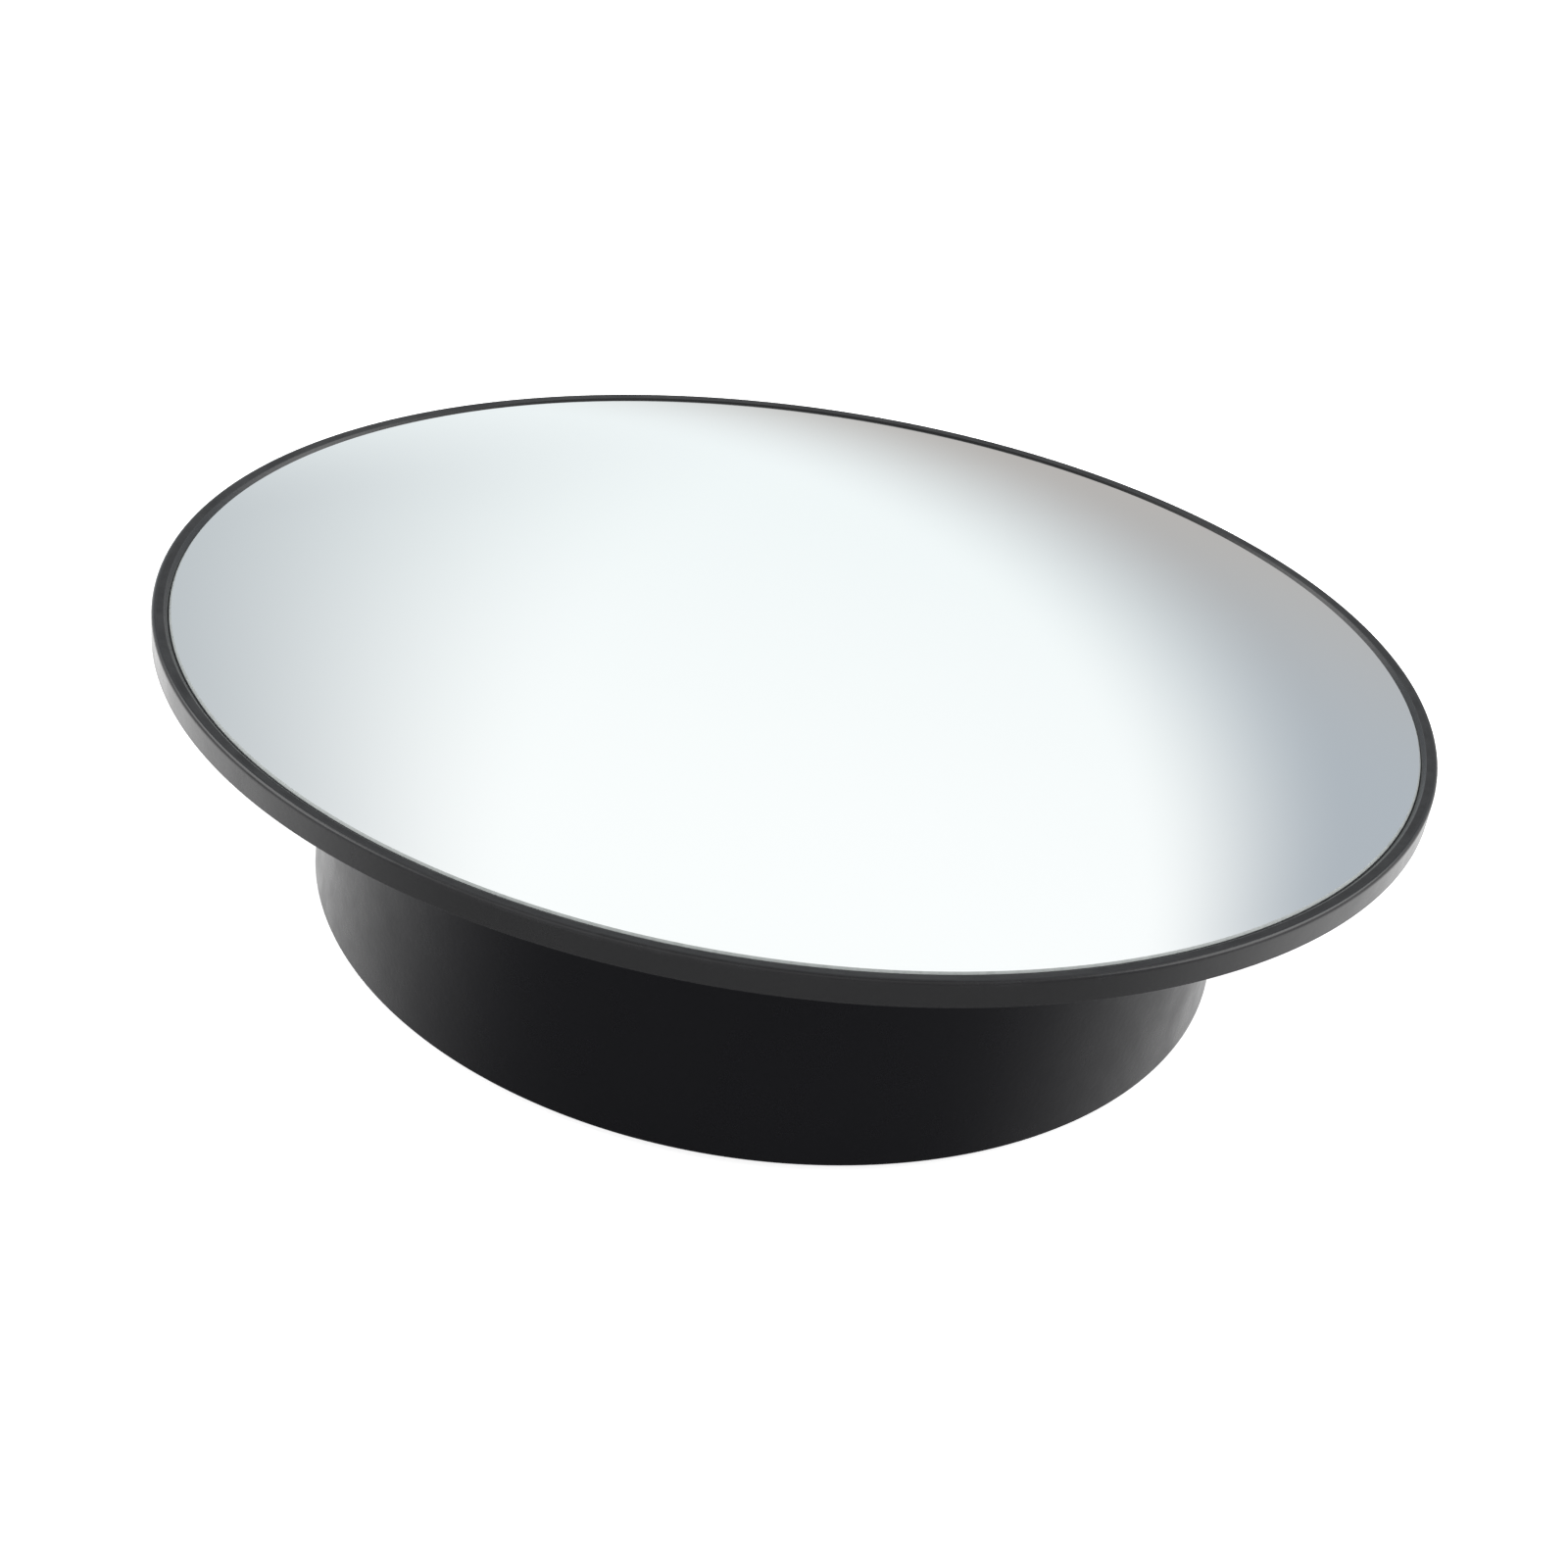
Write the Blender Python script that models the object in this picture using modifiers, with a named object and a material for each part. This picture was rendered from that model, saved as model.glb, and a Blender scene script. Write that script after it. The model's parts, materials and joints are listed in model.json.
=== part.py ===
"""Small convex security mirror: a domed glass in a thin round frame, on a drum that swivels and tilts.

Frame: origin at the centre of the adhesive face, +Z up along the drum, tilt axis along X.
The mirror leans back by REST_TILT, its near edge (-Y) raised, which is one stop of the tilt hinge.
"""
import math

import bmesh
import bpy

MM = 0.001
GAP = 0.3 * MM                      # clearance between pieces that touch

# Head, as seen along its own axis
LIP_RADIUS = 47.5 * MM              # outer radius of the frame
LIP_WIDTH = 1.03 * MM
RING_DEPTH = 2.1 * MM
RING_CHAMFER = 0.3 * MM
RING_TAPER = 0.2 * MM
DOME_RADIUS = 200.0 * MM            # radius of curvature of the mirror's face
GLASS_THICKNESS = 1.2 * MM
GLASS_SEAM = 0.2 * MM
PAD_RADIUS = 28.0 * MM
PAD_THICKNESS = 0.5 * MM
SHELL_THICKNESS = 1.4 * MM
SHELL_CORE = 1.2 * MM               # the shell's thickness under the foam disc
SKIRT_CLEARANCE = 0.5 * MM          # between the skirt and the drum's wall
SKIRT_THICKNESS = 1.2 * MM
SKIRT_END = math.radians(-2.0)      # lower edge of the skirt, as an angle below the tilt axis
REST_TILT = math.radians(6.3)
LIP_HEIGHT = 8.0 * MM               # lip plane above the tilt axis

# Drum and its floor
DRUM_RADIUS = 33.7 * MM
DRUM_WALL = 1.8 * MM
DRUM_BOTTOM = 0.6 * MM
DRUM_TOP = 16.4 * MM
DRUM_CHAMFER = 0.3 * MM
FLOOR_BOTTOM = 4.4 * MM
FLOOR_TOP = 5.9 * MM
PIVOT_HEIGHT = 12.75 * MM

# Base
ADHESIVE_RADIUS = 29.5 * MM
ADHESIVE_THICKNESS = 0.9 * MM
PLATE_TOP = 3.0 * MM
POST_RADIUS = 4.0 * MM
POST_TOP = 7.0 * MM
POST_HOLE_BOTTOM = 2.2 * MM
THRUST_RADIUS = 14.0 * MM
SPRING_RADIUS = 7.0 * MM
SPRING_THICKNESS = 0.4 * MM
RETAINER_RADIUS = 6.4 * MM
RETAINER_THICKNESS = 0.8 * MM
CENTRE_SCREW_RADIUS = 1.4 * MM
CENTRE_HEAD_RADIUS = 2.8 * MM
CENTRE_HEAD_HEIGHT = 1.6 * MM

# Tilt hinge
PIN_RADIUS = 1.5 * MM
PIN_HEAD_RADIUS = 2.6 * MM
PIN_HEAD_LENGTH = 1.1 * MM
PIN_TIP = 0.8 * MM                  # length of the pin past its groove
PIN_TIP_CHAMFER = 0.3 * MM
LUG_INNER = 7.2 * MM                # |x| where each lug starts
LUG_THICKNESS = 2.2 * MM
LUG_RADIUS = 3.6 * MM
WASHER_RADIUS = 3.4 * MM
EAR_INNER = 10.8 * MM
EAR_THICKNESS = 1.8 * MM
EAR_RADIUS = 4.0 * MM
BRACKET_HALF_X = 17.0 * MM
BRACKET_HALF_Y = 11.0 * MM
BRACKET_CORNER = 2.5 * MM
BRACKET_THICKNESS = 1.0 * MM
BRACKET_HOLE_RADIUS = 7.6 * MM
BRACKET_SCREW_X = 14.6 * MM
BRACKET_SCREW_Y = 8.0 * MM
BRACKET_SCREW_RADIUS = 1.0 * MM
BRACKET_HEAD_RADIUS = 2.0 * MM
BRACKET_HEAD_HEIGHT = 1.2 * MM
RECESS_DEPTH = 0.7 * MM             # cross recess in the screw heads
RECESS_WIDTH = 0.5 * MM
RECESS_SHARE = 0.6                  # its reach as a share of the head's radius
CLIP_RADIUS = 2.8 * MM
CLIP_THICKNESS = 0.6 * MM
CLIP_MOUTH = math.radians(35)       # half the angle of the clip's mouth
GROOVE_RADIUS = 1.0 * MM

# Facets round a turned piece
RING_FACETS = 96
GLASS_FACETS = 80
DRUM_FACETS = 72
DISC_FACETS = 56
WASHER_FACETS = 40
SMALL_FACETS = 20

CUT_THROUGH = 4 * MM                # length of a cutter that goes through a floor or a plate

# Worked out from the above
RING_INNER = LIP_RADIUS - LIP_WIDTH
GLASS_RADIUS = RING_INNER - GAP
DOME_CENTRE = LIP_HEIGHT - math.sqrt(DOME_RADIUS ** 2 - GLASS_RADIUS ** 2)
RING_BOTTOM = LIP_HEIGHT - RING_DEPTH
DRUM_INNER = DRUM_RADIUS - DRUM_WALL
PLATE_RADIUS = DRUM_INNER - 1.5 * GAP
SKIRT_RADIUS = DRUM_INNER - SKIRT_CLEARANCE
PLATE_BOTTOM = ADHESIVE_THICKNESS + GAP
BRACKET_BOTTOM = FLOOR_TOP + GAP
BRACKET_TOP = BRACKET_BOTTOM + BRACKET_THICKNESS
EAR_OUTER = EAR_INNER + EAR_THICKNESS

# Depths below the mirror's face, measured along the dome's radius
PAD_TOP_DEPTH = GLASS_THICKNESS + GAP
PAD_BOTTOM_DEPTH = PAD_TOP_DEPTH + PAD_THICKNESS
SHELL_PAD_DEPTH = PAD_BOTTOM_DEPTH + GAP
SHELL_UNDER_DEPTH = PAD_TOP_DEPTH + SHELL_THICKNESS
SHELL_INNER_DEPTH = SHELL_PAD_DEPTH + SHELL_CORE


# ---------------------------------------------------------------- scene helpers

def clear_scene():
    for obj in list(bpy.data.objects):
        bpy.data.objects.remove(obj, do_unlink=True)


def new_collection(name):
    collection = bpy.data.collections.new(name)
    bpy.context.scene.collection.children.link(collection)
    return collection


def material(name, colour, roughness, metallic=0.0):
    """Principled BSDF of one colour."""
    mat = bpy.data.materials.new(name)
    mat.use_nodes = True
    shader = mat.node_tree.nodes["Principled BSDF"]
    shader.inputs["Base Color"].default_value = (*colour, 1.0)
    shader.inputs["Roughness"].default_value = roughness
    shader.inputs["Metallic"].default_value = metallic
    return mat


def add_object(name, mesh, collection, parent=None):
    obj = bpy.data.objects.new(name, mesh)
    collection.objects.link(obj)
    obj.parent = parent
    return obj


def make_guide(obj):
    """A cutter or an added lump: it only serves the Boolean modifiers."""
    obj.hide_render = True
    obj.display_type = "WIRE"


def boolean(obj, other, operation):
    mod = obj.modifiers.new(f"{operation.lower()}_{other.name}", "BOOLEAN")
    mod.operation = operation
    mod.object = other
    mod.solver = "EXACT"


# ---------------------------------------------------------------- shape helpers

def turned(name, profile, steps, collection, parent=None, ring=False):
    """Solid of revolution about Z from (radius, height) points; a ring's profile is a closed loop."""
    count = len(profile)
    edges = [(i, i + 1) for i in range(count - 1)]
    if ring:
        edges.append((count - 1, 0))
    mesh = bpy.data.meshes.new(name)
    mesh.from_pydata([(radius, 0.0, height) for radius, height in profile], edges, [])
    obj = add_object(name, mesh, collection, parent)
    screw = obj.modifiers.new("turn", "SCREW")
    screw.axis = "Z"
    screw.steps = steps
    screw.render_steps = steps
    screw.use_merge_vertices = True
    screw.merge_threshold = 0.00001
    screw.use_smooth_shade = False
    return obj


def outline_plate(name, points, thickness, collection, parent=None):
    """Flat plate from a closed outline in XY, centred on z = 0, as a welded mesh."""
    curve = bpy.data.curves.new(name, "CURVE")
    curve.dimensions = "2D"
    curve.fill_mode = "BOTH"
    curve.extrude = thickness / 2
    spline = curve.splines.new("POLY")
    spline.points.add(len(points) - 1)
    for point, (x, y) in zip(spline.points, points):
        point.co = (x, y, 0.0, 1.0)
    spline.use_cyclic_u = True
    outline = add_object(name + "_outline", curve, collection)
    bpy.context.view_layer.update()
    evaluated = outline.evaluated_get(bpy.context.evaluated_depsgraph_get())
    mesh = bpy.data.meshes.new_from_object(evaluated)
    bpy.data.objects.remove(outline, do_unlink=True)
    weld(mesh)
    return add_object(name, mesh, collection, parent)


def weld(mesh):
    work = bmesh.new()
    work.from_mesh(mesh)
    bmesh.ops.remove_doubles(work, verts=work.verts, dist=0.00001)
    bmesh.ops.recalc_face_normals(work, faces=work.faces)
    work.to_mesh(mesh)
    work.free()


def arc(centre, radius, start, end, steps):
    """Points on a circle in 2D, both ends included."""
    points = []
    for i in range(steps + 1):
        angle = start + (end - start) * i / steps
        points.append((centre[0] + radius * math.cos(angle), centre[1] + radius * math.sin(angle)))
    return points


def cylinder(name, radius, length, collection, parent=None, steps=SMALL_FACETS):
    """Cylinder along Z, centred on its origin."""
    mesh = bpy.data.meshes.new(name)
    work = bmesh.new()
    bmesh.ops.create_cone(work, cap_ends=True, segments=steps, radius1=radius, radius2=radius, depth=length)
    work.to_mesh(mesh)
    work.free()
    return add_object(name, mesh, collection, parent)


def box(name, size, collection, parent=None):
    mesh = bpy.data.meshes.new(name)
    work = bmesh.new()
    bmesh.ops.create_cube(work, size=1.0)
    bmesh.ops.scale(work, vec=size, verts=work.verts)
    work.to_mesh(mesh)
    work.free()
    return add_object(name, mesh, collection, parent)


def tongue_outline(radius, length):
    """Straight-sided tongue: a half round about the origin, then sides running up +Y to length."""
    points = arc((0.0, 0.0), radius, math.radians(180), math.radians(360), 12)
    points.append((radius, length))
    points.append((-radius, length))
    return points


def rounded_rectangle(half_x, half_y, corner):
    points = []
    for i, (sign_x, sign_y) in enumerate(((1, 1), (-1, 1), (-1, -1), (1, -1))):
        centre = (sign_x * (half_x - corner), sign_y * (half_y - corner))
        points += arc(centre, corner, math.radians(90 * i), math.radians(90 * i + 90), 4)
    return points


def lay_along_x(obj, x, z=0.0):
    """Turn an object made about Z so that it lies along X."""
    obj.location = (x, 0.0, z)
    obj.rotation_euler = (0.0, math.radians(90), 0.0)


def stand_in_yz(obj, x, z=0.0, up=True):
    """Stand a flat plate in the YZ plane, its outline's +Y pointing up or down."""
    obj.location = (x, 0.0, z)
    obj.rotation_euler = (math.radians(90 if up else -90), 0.0, math.radians(90))


def dome(radius, depth):
    """Height above the tilt axis of the surface that lies depth under the mirror's face."""
    return DOME_CENTRE + math.sqrt((DOME_RADIUS - depth) ** 2 - radius ** 2)


def dome_arc(start, end, depth, steps):
    """Profile points along that surface, both ends included."""
    radii = [start + (end - start) * i / steps for i in range(steps + 1)]
    return [(radius, dome(radius, depth)) for radius in radii]


def dome_radius_at(height, depth):
    return math.sqrt((DOME_RADIUS - depth) ** 2 - (height - DOME_CENTRE) ** 2)


def skirt_arc(sphere, start, end, steps):
    """Profile points on a sphere about the tilt axis, by their angle above it."""
    return arc((0.0, 0.0), sphere, start, end, steps)


def skirt_meets_dome(sphere, depth):
    """Angle above the tilt axis where the skirt's sphere meets the shell's underside."""
    shell = DOME_RADIUS - depth
    height = (sphere ** 2 - shell ** 2 + DOME_CENTRE ** 2) / (2 * DOME_CENTRE)
    return math.asin(height / sphere)


# ---------------------------------------------------------------- head

def build_mirror_glass(parts, tilt):
    seam_radius = GLASS_RADIUS - GLASS_SEAM
    profile = dome_arc(0.0, seam_radius, 0.0, 5)
    profile.append((GLASS_RADIUS, LIP_HEIGHT - GLASS_SEAM))
    profile += dome_arc(GLASS_RADIUS, 0.0, GLASS_THICKNESS, 4)
    return turned("mirror_glass", profile, GLASS_FACETS, parts, tilt)


def build_bezel_ring(parts, tilt):
    profile = [
        (RING_INNER, LIP_HEIGHT),
        (LIP_RADIUS - RING_CHAMFER, LIP_HEIGHT),
        (LIP_RADIUS, LIP_HEIGHT - RING_CHAMFER),
        (LIP_RADIUS - RING_TAPER, RING_BOTTOM),
        (RING_INNER, RING_BOTTOM),
    ]
    return turned("bezel_ring", profile, RING_FACETS, parts, tilt, ring=True)


def build_glass_pad(parts, tilt):
    profile = dome_arc(0.0, PAD_RADIUS, PAD_TOP_DEPTH, 3)
    profile += dome_arc(PAD_RADIUS, 0.0, PAD_BOTTOM_DEPTH, 3)
    return turned("glass_pad", profile, DISC_FACETS, parts, tilt)


def build_back_shell(parts, cutters, tilt):
    """Domed back with a recess for the foam disc, a flat rim, a spherical skirt and two hinge lugs."""
    recess = PAD_RADIUS + GAP
    rim_inner = dome_radius_at(RING_BOTTOM, SHELL_UNDER_DEPTH)
    inner_sphere = SKIRT_RADIUS - SKIRT_THICKNESS
    outer_top = skirt_meets_dome(SKIRT_RADIUS, SHELL_UNDER_DEPTH)
    inner_top = skirt_meets_dome(inner_sphere, SHELL_INNER_DEPTH)
    profile = dome_arc(0.0, recess, SHELL_PAD_DEPTH, 3)
    profile += dome_arc(recess, GLASS_RADIUS, PAD_TOP_DEPTH, 3)
    profile.append((GLASS_RADIUS, RING_BOTTOM))
    profile += dome_arc(rim_inner, SKIRT_RADIUS * math.cos(outer_top), SHELL_UNDER_DEPTH, 2)
    profile += skirt_arc(SKIRT_RADIUS, outer_top, SKIRT_END, 3)[1:]
    profile += skirt_arc(inner_sphere, SKIRT_END, inner_top, 3)
    profile += dome_arc(inner_sphere * math.cos(inner_top), 0.0, SHELL_INNER_DEPTH, 3)[1:]
    shell = turned("back_shell", profile, DISC_FACETS, parts, tilt)

    lug_length = dome(LUG_INNER + LUG_THICKNESS, (SHELL_PAD_DEPTH + SHELL_INNER_DEPTH) / 2)
    outline = tongue_outline(LUG_RADIUS, lug_length)
    for side, name in ((-1, "left"), (1, "right")):
        lug = outline_plate(f"lug_{name}", outline, LUG_THICKNESS, cutters, tilt)
        stand_in_yz(lug, side * (LUG_INNER + LUG_THICKNESS / 2))
        make_guide(lug)
        boolean(shell, lug, "UNION")
    bore = cylinder("lug_bore", PIN_RADIUS + GAP, 4 * LUG_INNER, cutters, tilt)
    lay_along_x(bore, 0.0)
    make_guide(bore)
    boolean(shell, bore, "DIFFERENCE")
    return shell


# ---------------------------------------------------------------- drum

def build_drum_shell(parts, cutters):
    """Drum wall with a floor across it; the floor has a bore for the post and four screw holes."""
    bore = POST_RADIUS + GAP
    profile = [
        (bore, FLOOR_TOP),
        (DRUM_INNER, FLOOR_TOP),
        (DRUM_INNER, DRUM_TOP),
        (DRUM_RADIUS - DRUM_CHAMFER, DRUM_TOP),
        (DRUM_RADIUS, DRUM_TOP - DRUM_CHAMFER),
        (DRUM_RADIUS, DRUM_BOTTOM + DRUM_CHAMFER),
        (DRUM_RADIUS - DRUM_CHAMFER, DRUM_BOTTOM),
        (DRUM_INNER, DRUM_BOTTOM),
        (DRUM_INNER, FLOOR_BOTTOM),
        (bore, FLOOR_BOTTOM),
    ]
    drum = turned("drum_shell", profile, DRUM_FACETS, parts, ring=True)
    cut_screw_holes(drum, cutters, (FLOOR_BOTTOM + FLOOR_TOP) / 2)
    return drum


def screw_places():
    return [(sx * BRACKET_SCREW_X, sy * BRACKET_SCREW_Y) for sx in (-1, 1) for sy in (-1, 1)]


def cut_screw_holes(obj, cutters, height):
    for i, (x, y) in enumerate(screw_places(), start=1):
        hole = cylinder(f"{obj.name}_hole_{i}", BRACKET_SCREW_RADIUS + GAP, CUT_THROUGH, cutters)
        hole.location = (x, y, height)
        make_guide(hole)
        boolean(obj, hole, "DIFFERENCE")


def build_pivot_bracket(parts, cutters):
    """Base plate with a round opening and two upright ears that carry the hinge pin."""
    outline = rounded_rectangle(BRACKET_HALF_X, BRACKET_HALF_Y, BRACKET_CORNER)
    bracket = outline_plate("pivot_bracket", outline, BRACKET_THICKNESS, parts)
    foot = (BRACKET_BOTTOM + BRACKET_TOP) / 2
    bracket.location = (0.0, 0.0, foot)
    outline = tongue_outline(EAR_RADIUS, PIVOT_HEIGHT - foot)
    for side, name in ((-1, "left"), (1, "right")):
        ear = outline_plate(f"ear_{name}", outline, EAR_THICKNESS, cutters)
        stand_in_yz(ear, side * (EAR_INNER + EAR_THICKNESS / 2), PIVOT_HEIGHT, up=False)
        make_guide(ear)
        boolean(bracket, ear, "UNION")
    opening = cylinder("bracket_opening", BRACKET_HOLE_RADIUS, CUT_THROUGH, cutters, steps=WASHER_FACETS)
    opening.location = (0.0, 0.0, foot)
    make_guide(opening)
    boolean(bracket, opening, "DIFFERENCE")
    bore = cylinder("ear_bore", PIN_RADIUS + GAP, 3 * EAR_INNER, cutters)
    lay_along_x(bore, 0.0, z=PIVOT_HEIGHT)
    make_guide(bore)
    boolean(bracket, bore, "DIFFERENCE")
    cut_screw_holes(bracket, cutters, foot)
    return bracket


def screw_profile(shank_radius, head_radius, tip, head_bottom, head_top):
    """Pan head screw, head up, from the top of its axis to its tip."""
    crown = (head_top - head_bottom) * 0.35
    return [
        (0.0, head_top),
        (head_radius * 0.7, head_top),
        (head_radius, head_top - crown),
        (head_radius, head_bottom),
        (shank_radius, head_bottom),
        (shank_radius, tip + shank_radius * 0.5),
        (shank_radius * 0.5, tip),
        (0.0, tip),
    ]


def cut_cross_recess(screw, head_top, head_radius, cutters):
    """Cross-shaped driver recess in a screw's head, turned 45 degrees."""
    size = (2 * RECESS_SHARE * head_radius, RECESS_WIDTH, 2 * RECESS_DEPTH)
    for turn in (45, 135):
        slot = box(f"{screw.name}_recess_{turn}", size, cutters)
        slot.location = (screw.location.x, screw.location.y, head_top)
        slot.rotation_euler = (0.0, 0.0, math.radians(turn))
        make_guide(slot)
        boolean(screw, slot, "DIFFERENCE")


def build_bracket_screws(parts, cutters):
    head_bottom = BRACKET_TOP + GAP
    head_top = head_bottom + BRACKET_HEAD_HEIGHT
    tip = FLOOR_BOTTOM - GAP
    profile = screw_profile(BRACKET_SCREW_RADIUS, BRACKET_HEAD_RADIUS, tip, head_bottom, head_top)
    screws = []
    for i, (x, y) in enumerate(screw_places(), start=1):
        screw = turned(f"bracket_screw_{i}", profile, SMALL_FACETS, parts)
        screw.location = (x, y, 0.0)
        cut_cross_recess(screw, head_top, BRACKET_HEAD_RADIUS, cutters)
        screws.append(screw)
    return screws


# ---------------------------------------------------------------- tilt hinge

def build_hinge_pin(parts):
    """Headed pin along X with a groove for the clip; built about Z and laid on the tilt axis."""
    groove_start = EAR_OUTER + GAP / 2
    groove_end = EAR_OUTER + 2 * GAP + CLIP_THICKNESS + GAP / 2
    end = groove_end + PIN_TIP
    head_face = -EAR_OUTER - GAP
    profile = [
        (0.0, end),
        (PIN_RADIUS - PIN_TIP_CHAMFER, end),
        (PIN_RADIUS, end - PIN_TIP_CHAMFER),
        (PIN_RADIUS, groove_end),
        (GROOVE_RADIUS, groove_end),
        (GROOVE_RADIUS, groove_start),
        (PIN_RADIUS, groove_start),
        (PIN_RADIUS, head_face),
        (PIN_HEAD_RADIUS, head_face),
        (PIN_HEAD_RADIUS * 0.9, head_face - PIN_HEAD_LENGTH),
        (0.0, head_face - PIN_HEAD_LENGTH),
    ]
    pin = turned("hinge_pin", profile, SMALL_FACETS, parts)
    lay_along_x(pin, 0.0, z=PIVOT_HEIGHT)
    return pin


def build_pin_clip(parts):
    """Open spring clip: most of a ring, its mouth pointing down."""
    start = math.radians(-90) + CLIP_MOUTH
    end = math.radians(270) - CLIP_MOUTH
    inner = GROOVE_RADIUS + GAP
    outline = arc((0.0, 0.0), CLIP_RADIUS, start, end, 20) + arc((0.0, 0.0), inner, end, start, 14)
    clip = outline_plate("pin_clip", outline, CLIP_THICKNESS, parts)
    stand_in_yz(clip, EAR_OUTER + GAP + CLIP_THICKNESS / 2, PIVOT_HEIGHT)
    return clip


def washer_profile(inner, outer, bottom, top):
    return [(inner, top), (outer, top), (outer, bottom), (inner, bottom)]


def build_friction_washers(parts):
    inner_face = LUG_INNER + LUG_THICKNESS + GAP
    half = (EAR_INNER - GAP - inner_face) / 2
    profile = washer_profile(PIN_RADIUS + GAP, WASHER_RADIUS, -half, half)
    washers = []
    for side, name in ((-1, "left"), (1, "right")):
        washer = turned(f"friction_washer_{name}", profile, SMALL_FACETS, parts, ring=True)
        lay_along_x(washer, side * (inner_face + half), z=PIVOT_HEIGHT)
        washers.append(washer)
    return washers


# ---------------------------------------------------------------- base

def build_adhesive_pad(parts):
    pad = cylinder("adhesive_pad", ADHESIVE_RADIUS, ADHESIVE_THICKNESS, parts, steps=DISC_FACETS)
    pad.location = (0.0, 0.0, ADHESIVE_THICKNESS / 2)
    return pad


def build_base_plate(parts):
    """Disc with a post that the drum turns on; the post has a blind hole for the centre screw."""
    hole = CENTRE_SCREW_RADIUS + GAP
    profile = [
        (0.0, POST_HOLE_BOTTOM),
        (hole, POST_HOLE_BOTTOM),
        (hole, POST_TOP),
        (POST_RADIUS, POST_TOP),
        (POST_RADIUS, PLATE_TOP),
        (PLATE_RADIUS, PLATE_TOP),
        (PLATE_RADIUS, PLATE_BOTTOM),
        (0.0, PLATE_BOTTOM),
    ]
    return turned("base_plate", profile, DISC_FACETS, parts)


def build_thrust_washer(parts):
    profile = washer_profile(POST_RADIUS + GAP, THRUST_RADIUS, PLATE_TOP + GAP, FLOOR_BOTTOM - GAP)
    return turned("thrust_washer", profile, WASHER_FACETS, parts, ring=True)


def build_disc_spring(parts):
    """Conical spring washer, its outer edge on the drum's floor and its inner edge raised."""
    inner = POST_RADIUS + 1.5 * GAP
    low = FLOOR_TOP + GAP
    rise = POST_TOP - low - SPRING_THICKNESS
    profile = [
        (inner, low + rise + SPRING_THICKNESS),
        (SPRING_RADIUS, low + SPRING_THICKNESS),
        (SPRING_RADIUS, low),
        (inner, low + rise),
    ]
    return turned("disc_spring", profile, WASHER_FACETS, parts, ring=True)


def build_retaining_washer(parts):
    bottom = POST_TOP + GAP
    profile = washer_profile(
        CENTRE_SCREW_RADIUS + GAP, RETAINER_RADIUS, bottom, bottom + RETAINER_THICKNESS
    )
    return turned("retaining_washer", profile, WASHER_FACETS, parts, ring=True)


def build_centre_screw(parts, cutters):
    head_bottom = POST_TOP + 2 * GAP + RETAINER_THICKNESS
    head_top = head_bottom + CENTRE_HEAD_HEIGHT
    tip = POST_HOLE_BOTTOM + GAP
    profile = screw_profile(CENTRE_SCREW_RADIUS, CENTRE_HEAD_RADIUS, tip, head_bottom, head_top)
    screw = turned("centre_screw", profile, SMALL_FACETS, parts)
    cut_cross_recess(screw, head_top, CENTRE_HEAD_RADIUS, cutters)
    return screw


# ---------------------------------------------------------------- assembly

def give_material(objects, mat):
    for obj in objects:
        obj.data.materials.append(mat)


def build_head(parts, cutters):
    tilt = bpy.data.objects.new("tilt_axis", None)
    parts.objects.link(tilt)
    tilt.location = (0.0, 0.0, PIVOT_HEIGHT)
    tilt.rotation_euler = (-REST_TILT, 0.0, 0.0)
    bpy.context.view_layer.update()
    give_material([build_mirror_glass(parts, tilt)], material("mirror_silver", (0.86, 0.89, 0.9), 0.03, 1.0))
    give_material([build_bezel_ring(parts, tilt)], material("black_frame", (0.028, 0.029, 0.032), 0.32))
    give_material([build_back_shell(parts, cutters, tilt)], material("black_shell", (0.03, 0.03, 0.033), 0.4))
    give_material([build_glass_pad(parts, tilt)], material("grey_foam", (0.45, 0.46, 0.47), 0.9))


def build_drum(parts, cutters):
    steel = material("zinc_steel", (0.62, 0.62, 0.6), 0.35, 1.0)
    give_material([build_drum_shell(parts, cutters)], material("black_drum", (0.026, 0.027, 0.03), 0.38))
    give_material([build_pivot_bracket(parts, cutters)], material("bracket_steel", (0.5, 0.5, 0.5), 0.4, 1.0))
    give_material(build_bracket_screws(parts, cutters), steel)
    give_material([build_hinge_pin(parts)], material("pin_steel", (0.66, 0.66, 0.66), 0.25, 1.0))
    give_material([build_pin_clip(parts)], material("spring_steel", (0.3, 0.3, 0.32), 0.35, 1.0))
    give_material(build_friction_washers(parts), material("white_nylon", (0.82, 0.81, 0.77), 0.5))


def build_base(parts, cutters):
    give_material([build_adhesive_pad(parts)], material("black_foam_tape", (0.05, 0.05, 0.052), 0.85))
    give_material([build_base_plate(parts)], material("black_base", (0.03, 0.03, 0.032), 0.45))
    give_material([build_thrust_washer(parts)], material("natural_acetal", (0.85, 0.84, 0.8), 0.45))
    give_material([build_disc_spring(parts)], material("blued_steel", (0.2, 0.21, 0.25), 0.35, 1.0))
    give_material([build_retaining_washer(parts)], material("washer_steel", (0.6, 0.6, 0.58), 0.35, 1.0))
    give_material([build_centre_screw(parts, cutters)], material("screw_steel", (0.6, 0.6, 0.6), 0.3, 1.0))


def main():
    clear_scene()
    parts = new_collection("convex_security_mirror")
    cutters = new_collection("cutters")
    build_head(parts, cutters)
    build_drum(parts, cutters)
    build_base(parts, cutters)


main()
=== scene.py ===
"""Looks of the convex security mirror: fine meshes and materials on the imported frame, camera and studio."""
import json
import math

import bmesh
import bpy
from mathutils import Matrix, Vector


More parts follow.
